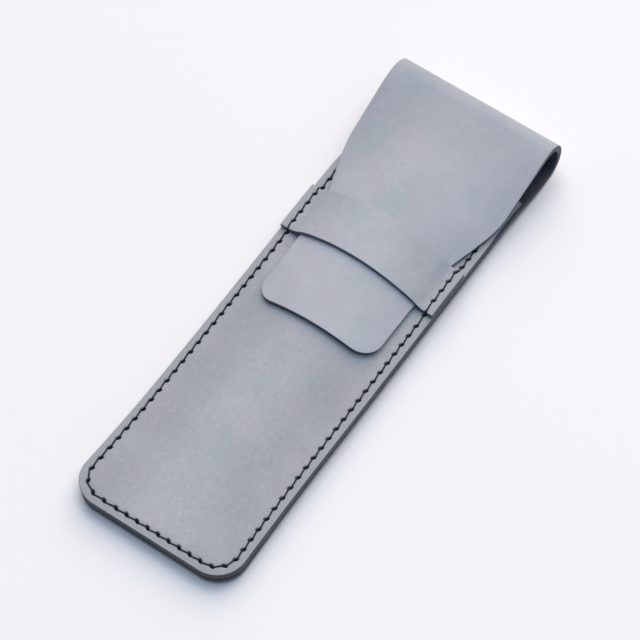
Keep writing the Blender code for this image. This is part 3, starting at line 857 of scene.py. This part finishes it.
def edge_finish(colours, name, tint):
    """The cut edge: dyed dark, rubbed with wax, with fibres that run along the leather."""
    f = Finish(name)
    across_fibres, through_fibres = 260.0, 5.5
    place = f.node("ShaderNodeCombineXYZ")
    for axis in ("X", "Y"):
        f.link(f.math("MULTIPLY", f.axes[axis], across_fibres), place.inputs[axis])
    f.link(f.math("MULTIPLY", f.attribute("depth"), through_fibres), place.inputs["Z"])
    texture = f.node("ShaderNodeTexNoise")
    texture.inputs["Scale"].default_value = 1.0
    texture.inputs["Detail"].default_value = 3.0
    f.link(place.outputs["Vector"], texture.inputs["Vector"])
    fibres = texture.outputs["Fac"]
    fleck = f.noise(1400, 2, 0.6, seed=2)
    colour = f.mix(f.ranged(fibres, 0.35, 0.7), (0.030, 0.036, 0.050), colours.cut_edge)
    colour = f.mix(f.ranged(fleck, 0.55, 0.75, 0.0, 0.5), colour, (0.09, 0.105, 0.135))

    # Painted shade: the cut edge is darkest low in the fold, and darker near the table along the
    # pocket
    fold, low = f.along(158 * MM, 163 * MM), f.ranged(f.axes["Z"], 10 * MM, 5 * MM)
    colour = f.mix(f.math("MULTIPLY", fold, low), colour, (0.013, 0.016, 0.024))
    table_shade = f.ranged(f.axes["Z"], 3.5 * MM, 6.5 * MM, 0.6, 0.0)
    pocket = f.along(138 * MM, 148 * MM, 1.0, 0.0)
    colour = f.mix(f.math("MULTIPLY", table_shade, pocket), colour, (0.008, 0.013, 0.021))
    colour = f.tint(colour, [(1.0, tint)])
    roughness = f.ranged(fibres, 0.3, 0.7, 0.42, 0.62)
    normal = f.bump(fibres, 0.5, 0.12 * MM)
    normal = f.bump(fleck, 0.3, 0.08 * MM, normal)
    return f.finish(colour, roughness, normal)


def flesh_finish(colours, name):
    """The inner face: dark and fibrous, without a shine."""
    f = Finish(name)
    fibres = f.noise(900, 4, 0.65, stretch=(1.0, 0.45, 1.0), distortion=1.2)
    clouds = f.noise(120, 2, 0.5, seed=4)
    colour = f.mix(f.ranged(fibres, 0.35, 0.7), colours.flesh, (0.075, 0.084, 0.110))
    colour = f.mix(f.ranged(clouds, 0.3, 0.7, 0.0, 0.4), colour, (0.030, 0.036, 0.054))
    roughness = f.ranged(fibres, 0.3, 0.7, 0.8, 0.95)
    f.set(Specular_IOR_Level=0.25)
    return f.finish(colour, roughness, f.bump(fibres, 0.6, 0.12 * MM))


def thread_finish(colours, name):
    """Twisted thread under a thin coat of wax."""
    f = Finish(name)
    strands = f.noise(4200, 2, 0.6, seed=1)
    wax = f.noise(700, 2, 0.5, seed=6)
    colour = f.mix(f.ranged(strands, 0.35, 0.7, 0.0, 0.7), colours.thread, (0.036, 0.042, 0.056))
    roughness = f.ranged(wax, 0.3, 0.7, 0.5, 0.7)
    f.set(Specular_IOR_Level=0.12)
    return f.finish(colour, roughness, f.bump(strands, 0.5, 0.04 * MM))


def floor_finish(studio):
    """A pale sheet of studio paper."""
    f = Finish("studio_paper")
    soft = f.noise(3, 2, 0.5)
    tooth = f.noise(900, 2, 0.5, seed=1)
    darker = 0.985
    shade = tuple(darker * c for c in studio.floor)
    colour = f.mix(f.ranged(soft, 0.3, 0.7), shade, tuple(studio.floor))
    roughness = f.ranged(tooth, 0.3, 0.7, 0.85, 0.95)
    f.set(Specular_IOR_Level=0.1)
    return f.finish(colour, roughness, f.bump(tooth, 0.05, 0.02 * MM))


# The three pieces of leather, where the body is the back, the fold and the flap in one: the seed
# of their clouds, their tint, how mottled they are, how much painted shade lies on their margins and
# their edges' tint
LEATHERS = {
    "body": (0.0, (1.06, 1.07, 1.11), 0.7, 0.0, (1.0, 1.0, 1.0)),
    "front": (6.0, (0.975, 0.975, 0.975), 1.35, 0.65, (1.0, 1.0, 1.0)),
    "strap": (20.0, (1.02, 1.04, 1.05), 1.0, 0.65, (1.4, 1.4, 1.4)),
}


def leather(colours, name):
    """The three finishes of a piece of leather, made once and shared by its sheets."""
    found = [bpy.data.materials.get(f"{name}_{part}") for part in ("grain", "edge", "flesh")]
    if all(found):
        return found
    seed, tint, strength, margin, edge_tint = LEATHERS[name]
    return [
        grain_finish(colours, f"{name}_grain", seed, tint, strength, margin),
        edge_finish(colours, f"{name}_edge", edge_tint),
        flesh_finish(colours, f"{name}_flesh"),
    ]


def settings(context):
    scene = context.scene
    return CaseShape(scene.pencil_case_sizes), scene.pencil_case_colours


class PENCILCASE_OT_back_leather(bpy.types.Operator):
    """Make the flat back panel, which runs on past the pocket to the fold"""

    bl_idname = "pencil_case.back_leather"
    bl_label = "Back Leather"

    def execute(self, context):
        shape, colours = settings(context)
        sizes = shape.sizes
        slit_depth, groove_depth, groove_width = 1.0 * MM, 0.62 * MM, 0.5 * MM

        def relief(x, y):
            pits = shape.stitch_pits(x, y, slit_depth)
            groove = groove_depth * np.exp(-((shape.seam.distance(x, y) / groove_width) ** 4))
            return np.maximum(groove, pits), pits

        def place(x, y, depth):
            return np.stack([x, y, depth - shape.back_drop(x, y)], 1)

        sheet = Sheet(place, sizes.leather, relief)
        outline, turn = round_end(shape.half, 0, sizes.corner_radius, shape.fold_y)
        tongue_sheet(sheet, outline, turn, SEAM_LINES, SEWN_STEP, keep=6)
        piece = sheet.build("back_leather", leather(colours, "body"), shape.hand)
        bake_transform(piece)
        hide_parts("back_panel")
        return {"FINISHED"}


class PENCILCASE_OT_front_panel(bpy.types.Operator):
    """Make the pocket's domed front with its stitch slits"""

    bl_idname = "pencil_case.front_panel"
    bl_label = "Front Panel"

    def execute(self, context):
        shape, colours = settings(context)
        sizes = shape.sizes
        slit_depth, margin = 1.0 * MM, 0.22 * MM
        laid = bowed(shape.panel_height)

        def relief(x, y):
            pits = shape.stitch_pits(x, y, slit_depth)
            return shape.seam_relief(x, y, shape.FRONT_GROOVE, margin) + pits, pits

        def place(x, y, depth):
            thicker = 1 - smoothstep(shape.SPREAD_START, shape.SPREAD_END, y)
            return laid(x, y, depth * (1 + shape.EDGE_SPREAD * thicker))

        sheet = Sheet(place, shape.FRONT_LEATHER, relief)
        outline, turn = round_end(
            shape.half, 0, sizes.corner_radius, sizes.mouth, shape.panel_half
        )
        tongue_sheet(sheet, outline, turn, SEAM_LINES, SEWN_STEP, keep=6, open_end=True)
        piece = sheet.build("front_leather", leather(colours, "front"), shape.hand)
        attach(piece, "pocket")
        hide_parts("front_panel")
        return {"FINISHED"}


class PENCILCASE_OT_flap(bpy.types.Operator):
    """Make the flap with its tongue, bowed across where the strap holds it"""

    bl_idname = "pencil_case.flap"
    bl_label = "Flap"

    def execute(self, context):
        shape, colours = settings(context)
        laid = bowed(shape.flap_top)

        def place(x, y, depth):
            return laid(x + shape.tongue_shift(y), y, depth)

        sheet = Sheet(place, shape.sizes.leather)
        outline, turn = round_end(
            shape.tongue_half, shape.TIP, shape.TIP_RADIUS, shape.root_y, shape.flap_half
        )
        lines = EDGE_LINES + [0.6 * MM, 1.2 * MM, 2.0 * MM]
        tongue_sheet(sheet, outline, turn, lines, step=0.6 * MM, keep=2)
        piece = sheet.build("flap_leather", leather(colours, "body"), shape.hand)
        end = (0, shape.FLAP_BEND + SEWN_END, shape.flap_middle(shape.FLAP_BEND))
        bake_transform(piece)
        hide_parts("flap")
        return {"FINISHED"}


class PENCILCASE_OT_fold(bpy.types.Operator):
    """Make the round fold between the back and the flap, in four stretches"""

    bl_idname = "pencil_case.fold"
    bl_label = "Fold"

    def execute(self, context):
        shape, colours = settings(context)
        stretches = (
            ("fold_leather_1", "loop_base", "loop_lower", ("fold_base", "fold_lower")),
            ("fold_leather_2", "loop_lower", "loop_middle", ("fold_middle",)),
            ("fold_leather_3", "loop_middle", "loop_upper", ("fold_upper",)),
            ("fold_leather_4", "loop_upper", "loop_top", ("fold_top",)),
        )

        def place(x, turn, depth):
            outer = shape.radius + shape.twist(x) / 2
            radius = outer - depth * (1 + shape.NOSE_SWELL * np.cos(turn) ** 2)
            y = shape.fold_y + radius * np.cos(turn)
            done = (turn + math.pi / 2) / (math.pi + shape.slope)
            y += shape.twist(x) / 2 * math.sin(shape.slope) * done
            level = outer + outer * np.sin(turn)
            drop = shape.back_drop(x, shape.fold_y, np.minimum(level, shape.FOLD_HEIGHT))
            return np.stack([x, y, outer + radius * np.sin(turn) - drop], 1)

        column_step, thin, turns_each = 2 * MM, math.radians(0.15), 25
        lines = EDGE_LINES + [0.6 * MM, 1.2 * MM]
        columns = edged(-shape.half, shape.half, column_step, lines)
        for number, (name, lower, upper, nodes) in enumerate(stretches):
            start = -math.pi / 2 + number * shape.bend_angle
            end = start + shape.bend_angle
            even = np.linspace(start + thin, end - thin, turns_each)
            sheet = Sheet(place, shape.sizes.leather)
            crossed_sheet(sheet, columns, np.array([start, *even, end]))
            piece = sheet.build(name, leather(colours, "body"), shape.hand)
            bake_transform(piece)
            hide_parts(*nodes)
        return {"FINISHED"}


class PENCILCASE_OT_strap(bpy.types.Operator):
    """Make the keeper strap, sewn flat at its ends and arched over the tongue"""

    bl_idname = "pencil_case.strap"
    bl_label = "Strap"

    def execute(self, context):
        shape, colours = settings(context)
        half = shape.half
        slit_depth, slit_reach = 0.8 * MM, 1.3 * MM
        sewn, rolled = half - 4.6 * MM, half - 9 * MM
        sewn_step, rolled_step, arched_step = 0.2 * MM, 0.4 * MM, 1.2 * MM

        def skewed(x, y):
            return y - shape.STRAP_SKEW * x / half

        def place(x, y, depth):
            y = skewed(x, y)
            top, under = shape.strap_top(x, y), shape.strap_under(x, y)
            return np.stack([x, y, top - depth / shape.STRAP_LEATHER * (top - under)], 1)

        def relief(x, y):
            outer = np.abs(x) > shape.seam.x - slit_reach
            pits = shape.stitch_pits(x, skewed(x, y), slit_depth) * outer
            beside = (np.abs(x) - shape.seam.x) / shape.GROOVE_WIDTH
            return pits + shape.STRAP_GROOVE * np.exp(-(beside**2)), pits

        edge = np.array(EDGE_LINES)
        flat = evenly(half - edge[-1], sewn, sewn_step)[:-1]
        side = [*(half - edge[:-1]), *flat, *evenly(sewn, rolled, rolled_step)[:-1]]
        middle = evenly(-rolled, rolled, arched_step)
        columns = np.concatenate([np.negative(side), middle, side[::-1]])
        rows = edged(shape.strap_low, shape.strap_high, SEWN_STEP, EDGE_LINES)
        sheet = Sheet(place, shape.STRAP_LEATHER, relief)
        crossed_sheet(sheet, columns, rows, open_rows=True)
        piece = sheet.build("strap_leather", leather(colours, "strap"), shape.hand)
        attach(piece, "pocket")
        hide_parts("strap")
        return {"FINISHED"}


def smooth_path(points, step):
    """A smooth line through points, with even steps."""
    ends = np.concatenate([[2 * points[0] - points[1]], points, [2 * points[-1] - points[-2]]])
    parts = 12
    t = np.linspace(0, 1, parts, endpoint=False)[:, None]
    fine = []
    for a, b, c, d in zip(ends, ends[1:], ends[2:], ends[3:]):
        bend, curl = 2 * a - 5 * b + 4 * c - d, 3 * b - a - 3 * c + d
        fine.append(0.5 * (2 * b + (c - a) * t + bend * t**2 + curl * t**3))
    fine = np.concatenate([*fine, points[-1:]])
    travel = travel_along(fine)
    even = np.linspace(0, travel[-1], round(travel[-1] / step))
    return np.stack([np.interp(even, travel, fine[:, i]) for i in range(3)], 1)


def twisted_thread(mesh, path, radius, twist):
    """Add a thread of two plies twisted together, along a path that never starts along aside."""
    sides, plies, waist, aside = 10, 2, 0.2, (0.3, 0.2, 1.0)
    angles = 2 * math.pi * np.arange(sides) / sides
    travel = travel_along(path)
    ways = np.gradient(path, axis=0)
    ways /= np.linalg.norm(ways, axis=1)[:, None]
    side = np.cross(ways[0], aside)
    rings = []
    for point, way, travelled in zip(path, ways, travel):
        side = side - way * side.dot(way)
        side /= np.linalg.norm(side)
        up = np.cross(way, side)
        turned = 2 * math.pi * travelled / twist
        ring = []
        for angle in angles:
            reach = radius * (1 - waist / 2 + waist * math.cos(plies * (angle - turned)))
            out = side * math.cos(angle) + up * math.sin(angle)
            ring.append(mesh.verts.new(point + reach * out))
        rings.append(ring)
    for a, b in zip(rings, rings[1:]):
        for j in range(sides):
            k = (j + 1) % sides
            mesh.faces.new((a[j], a[k], b[k], b[j]))
    mesh.faces.new(rings[0][::-1])
    mesh.faces.new(rings[-1])


class SaddleStitch:
    """The way of a thread's two halves through the slits, in front of the leather and behind it."""

    # How far from a slit's middle a stitch leaves it and arrives, and how deep the turn lies
    LEAVE, ARRIVE = 0.56 * MM, 0.18 * MM
    IN_SLIT, AT_RIM = 0.5 * MM, 0.05 * MM
    # How much of the thread's radius lies over a groove, and its play on the strap and the back
    OVER_GROOVE, OVER_STRAP, OVER_BACK = 0.72, 0.05 * MM, 0.06 * MM
    # Beside the strap's edge: how high a stitch stands, how far along it its points on the strap
    # and off it are from the edge, and how near to a slit they may be
    BESIDE_STRAP, ON_STRAP, OFF_STRAP, NEAREST = 0.35 * MM, 0.12, 0.16, 0.12
    # Shares of a stitch's length, where it lies on the front and where it has left a slit, and
    # the same with heights for the back
    FRONT, OUT, IN = (0.14, 0.35, 0.65, 0.86), 0.03, 0.97
    BACK = ((0, 0.9), (OUT, 0.35), (0.15, 0), (0.5, 0), (0.85, 0), (IN, 0.35), (1, 0.9))
    # How far under the panel the thread starts to hang with the back
    HANGING = 0.6 * MM

    def __init__(self, shape):
        self.shape = shape
        self.radius = shape.sizes.thread / 2
        self.panel = shape.SEAM_TOP - shape.FRONT_GROOVE
        self.strap = shape.STRAP_FOOT + shape.STRAP_LEATHER - shape.STRAP_GROOVE
        self.slits = []
        for (x, y, _), way in zip(shape.seam.places, shape.seam.ways):
            along = y + shape.STRAP_SKEW * np.sign(x)
            on_strap = shape.strap_low < along < shape.strap_high
            level = self.strap if on_strap else self.panel + float(shape.panel_lift(y))
            self.slits.append((np.array([x, y]), way, level, on_strap))

    def over_edge(self, start, end, climbs):
        """The middle of a stitch that climbs onto the strap or comes down from it."""
        shape, lift = self.shape, self.OVER_GROOVE * self.radius
        edge_y = shape.strap_low if start[1] < shape.strap_y else shape.strap_high
        edge_y -= shape.STRAP_SKEW * np.sign(start[0])
        t = (edge_y - start[1]) / (end[1] - start[1])
        low, high = self.panel + lift + self.BESIDE_STRAP, self.strap + lift + self.OVER_STRAP
        on, off = (self.ON_STRAP, high), (self.OFF_STRAP, low)
        (before, first), (after, second) = (off, on) if climbs else (on, off)
        return [(max(t - before, self.NEAREST), first), (min(t + after, 1 - self.NEAREST), second)]

    def front(self, i):
        """Points of the stitch on the front from slit i to the next."""
        here, way, level, raised = self.slits[i]
        there, next_way, next_level, next_raised = self.slits[i + 1]
        start, end = here + way * self.LEAVE, there - next_way * self.ARRIVE
        if raised == next_raised:
            lift = self.OVER_GROOVE * self.radius
            middle = [(t, level + lift) for t in self.FRONT]
        else:
            middle = self.over_edge(start, end, next_raised)
        first = [(0, level - self.IN_SLIT), (self.OUT, level - self.AT_RIM)]
        last = [(self.IN, next_level - self.AT_RIM), (1, next_level - self.IN_SLIT)]
        return [(*(start + (end - start) * t), z) for t, z in (*first, *middle, *last)]

    def behind(self, i):
        """Points of the stitch on the back from slit i to the next."""
        (here, way), (there, next_way) = self.slits[i][:2], self.slits[i + 1][:2]
        start, end = here - way * self.LEAVE, there + next_way * self.ARRIVE
        level = self.radius + self.OVER_BACK
        return [(*(start + (end - start) * t), level + z * MM) for t, z in self.BACK]

    def path(self):
        """The whole thread: one half to the seam's far end and the other half back."""
        halves = []
        for half in (0, 1):
            points = []
            for i in range(len(self.slits) - 1):
                points += self.front(i) if i % 2 == half else self.behind(i)
            halves.append(points)
        path = np.array(halves[1][::-1] + halves[0])
        below = path[:, 2] < self.panel - self.HANGING
        path[below, 2] -= self.shape.back_drop(path[below, 0], path[below, 1])
        return self.shape.hand.move(path)


class PENCILCASE_OT_thread(bpy.types.Operator):
    """Sew the saddle stitch with one thread, whose two halves pass through every slit"""

    bl_idname = "pencil_case.thread"
    bl_label = "Thread"

    def execute(self, context):
        shape, colours = settings(context)
        stitches = SaddleStitch(shape)
        path_step, twist = 0.22 * MM, 1.5 * MM
        mesh = bmesh.new()
        twisted_thread(mesh, smooth_path(stitches.path(), path_step), stitches.radius, twist)
        bmesh.ops.recalc_face_normals(mesh, faces=mesh.faces)
        data = bpy.data.meshes.new("waxed_thread")
        mesh.to_mesh(data)
        mesh.free()
        data.shade_smooth()
        piece = add_piece("waxed_thread", data, [thread_finish(colours, "waxed_thread")])
        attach(piece, "pocket")
        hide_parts("stitching")
        return {"FINISHED"}


def facing(right, up, back):
    """The turn of a lamp or a camera whose own X, Y and Z run along these directions."""
    return Matrix((right, up, back)).transposed().to_euler()


def studio_floor(studio):
    """Lay the floor just under the leather's belly."""
    reach, cells, gap = 1.6, 24, 0.1 * MM
    mesh = bmesh.new()
    bmesh.ops.create_grid(mesh, x_segments=cells, y_segments=cells, size=reach)
    bmesh.ops.translate(mesh, verts=mesh.verts, vec=(0, 0, -CaseShape.BELLY - gap))
    data = bpy.data.meshes.new("studio_floor")
    mesh.to_mesh(data)
    mesh.free()
    return add_piece("studio_floor", data, [floor_finish(studio)])


def studio_light(scene, studio):
    """Light the case by a warm lamp behind it, a cool one overhead and the room all round."""
    world = bpy.data.worlds.new("studio_room")
    world.use_nodes = True
    scene.world = world
    background = world.node_tree.nodes["Background"]
    background.inputs["Color"].default_value = (*studio.sky, 1)
    background.inputs["Strength"].default_value = studio.sky_strength
    # Each lamp's diameter, power, colour and place
    lamps = (
        ("key_lamp", 6.16, studio.key_power, studio.key, (-0.67, 2.87, 3.15)),
        ("fill_lamp", 3.0, studio.fill_power, studio.fill, (0.25, 0.15, 2.9)),
    )
    for name, size, power, colour, place in lamps:
        data = bpy.data.lights.new(name, "AREA")
        data.shape = "DISK"
        data.size, data.energy, data.color = size, power, colour
        lamp = bpy.data.objects.new(name, data)
        scene.collection.objects.link(lamp)
        lamp.location = place
        back = Vector(place).normalized()
        right = Vector((0, 0, 1)).cross(back).normalized()
        lamp.rotation_euler = facing(right, back.cross(right), back)


def photo_camera(scene, studio):
    """Look at the case as the photograph does."""
    image_width, focal_length, sensor_width = 640, 2858, 36.0
    looked_at = Vector((0.585 * MM, 89.05 * MM + SEWN_END, CaseShape.SEAM_TOP))
    az, el, roll = studio.azimuth, studio.elevation, studio.roll
    towards = Vector((math.sin(az) * math.cos(el), -math.cos(az) * math.cos(el), math.sin(el)))
    right = Vector((math.cos(az), math.sin(az), 0))
    up = towards.cross(right)
    top = math.cos(roll) * up - math.sin(roll) * right
    side = math.cos(roll) * right + math.sin(roll) * up
    data = bpy.data.cameras.new("photo_camera")
    data.sensor_width = sensor_width
    data.lens = focal_length / image_width * sensor_width
    camera = bpy.data.objects.new("photo_camera", data)
    scene.collection.objects.link(camera)
    camera.location = looked_at + towards * studio.distance
    camera.rotation_euler = facing(side, top, towards)
    scene.camera = camera


class PENCILCASE_OT_studio(bpy.types.Operator):
    """Set the pale floor, the soft light and the camera"""

    bl_idname = "pencil_case.studio"
    bl_label = "Studio"

    def execute(self, context):
        scene, studio = context.scene, context.scene.pencil_case_studio
        scene.view_settings.view_transform = "Standard"
        floor = studio_floor(studio)
        studio_light(scene, studio)
        photo_camera(scene, studio)
        return {"FINISHED"}


class PENCILCASE_PT_panel(bpy.types.Panel):
    """Steps that make the pencil case"""

    bl_idname = "PENCILCASE_PT_panel"
    bl_label = "Pencil Case"
    bl_space_type = "VIEW_3D"
    bl_region_type = "UI"
    bl_category = "Pencil Case"

    def draw(self, context):
        for operator in STEPS:
            self.layout.operator(operator.bl_idname)
        for group, holder in GROUPS.items():
            box = self.layout.box()
            for name in group.__annotations__:
                box.prop(getattr(context.scene, holder), name)


STEPS = (
    PENCILCASE_OT_back_leather,
    PENCILCASE_OT_front_panel,
    PENCILCASE_OT_strap,
    PENCILCASE_OT_fold,
    PENCILCASE_OT_flap,
    PENCILCASE_OT_thread,
    PENCILCASE_OT_studio,
)
GROUPS = {
    PencilCaseSizes: "pencil_case_sizes",
    PencilCaseColours: "pencil_case_colours",
    PencilCaseStudio: "pencil_case_studio",
}


def register():
    for cls in (*GROUPS, *STEPS, PENCILCASE_PT_panel):
        bpy.utils.register_class(cls)
    for group, name in GROUPS.items():
        setattr(bpy.types.Scene, name, bpy.props.PointerProperty(type=group))


def unregister():
    for name in GROUPS.values():
        delattr(bpy.types.Scene, name)
    for cls in reversed((*GROUPS, *STEPS, PENCILCASE_PT_panel)):
        bpy.utils.unregister_class(cls)


def main():
    register()
    bpy.ops.pencil_case.back_leather()
    bpy.ops.pencil_case.front_panel()
    bpy.ops.pencil_case.strap()
    bpy.ops.pencil_case.fold()
    bpy.ops.pencil_case.flap()
    bpy.ops.pencil_case.thread()
    bpy.ops.pencil_case.studio()


if __name__ == "__main__":
    main()
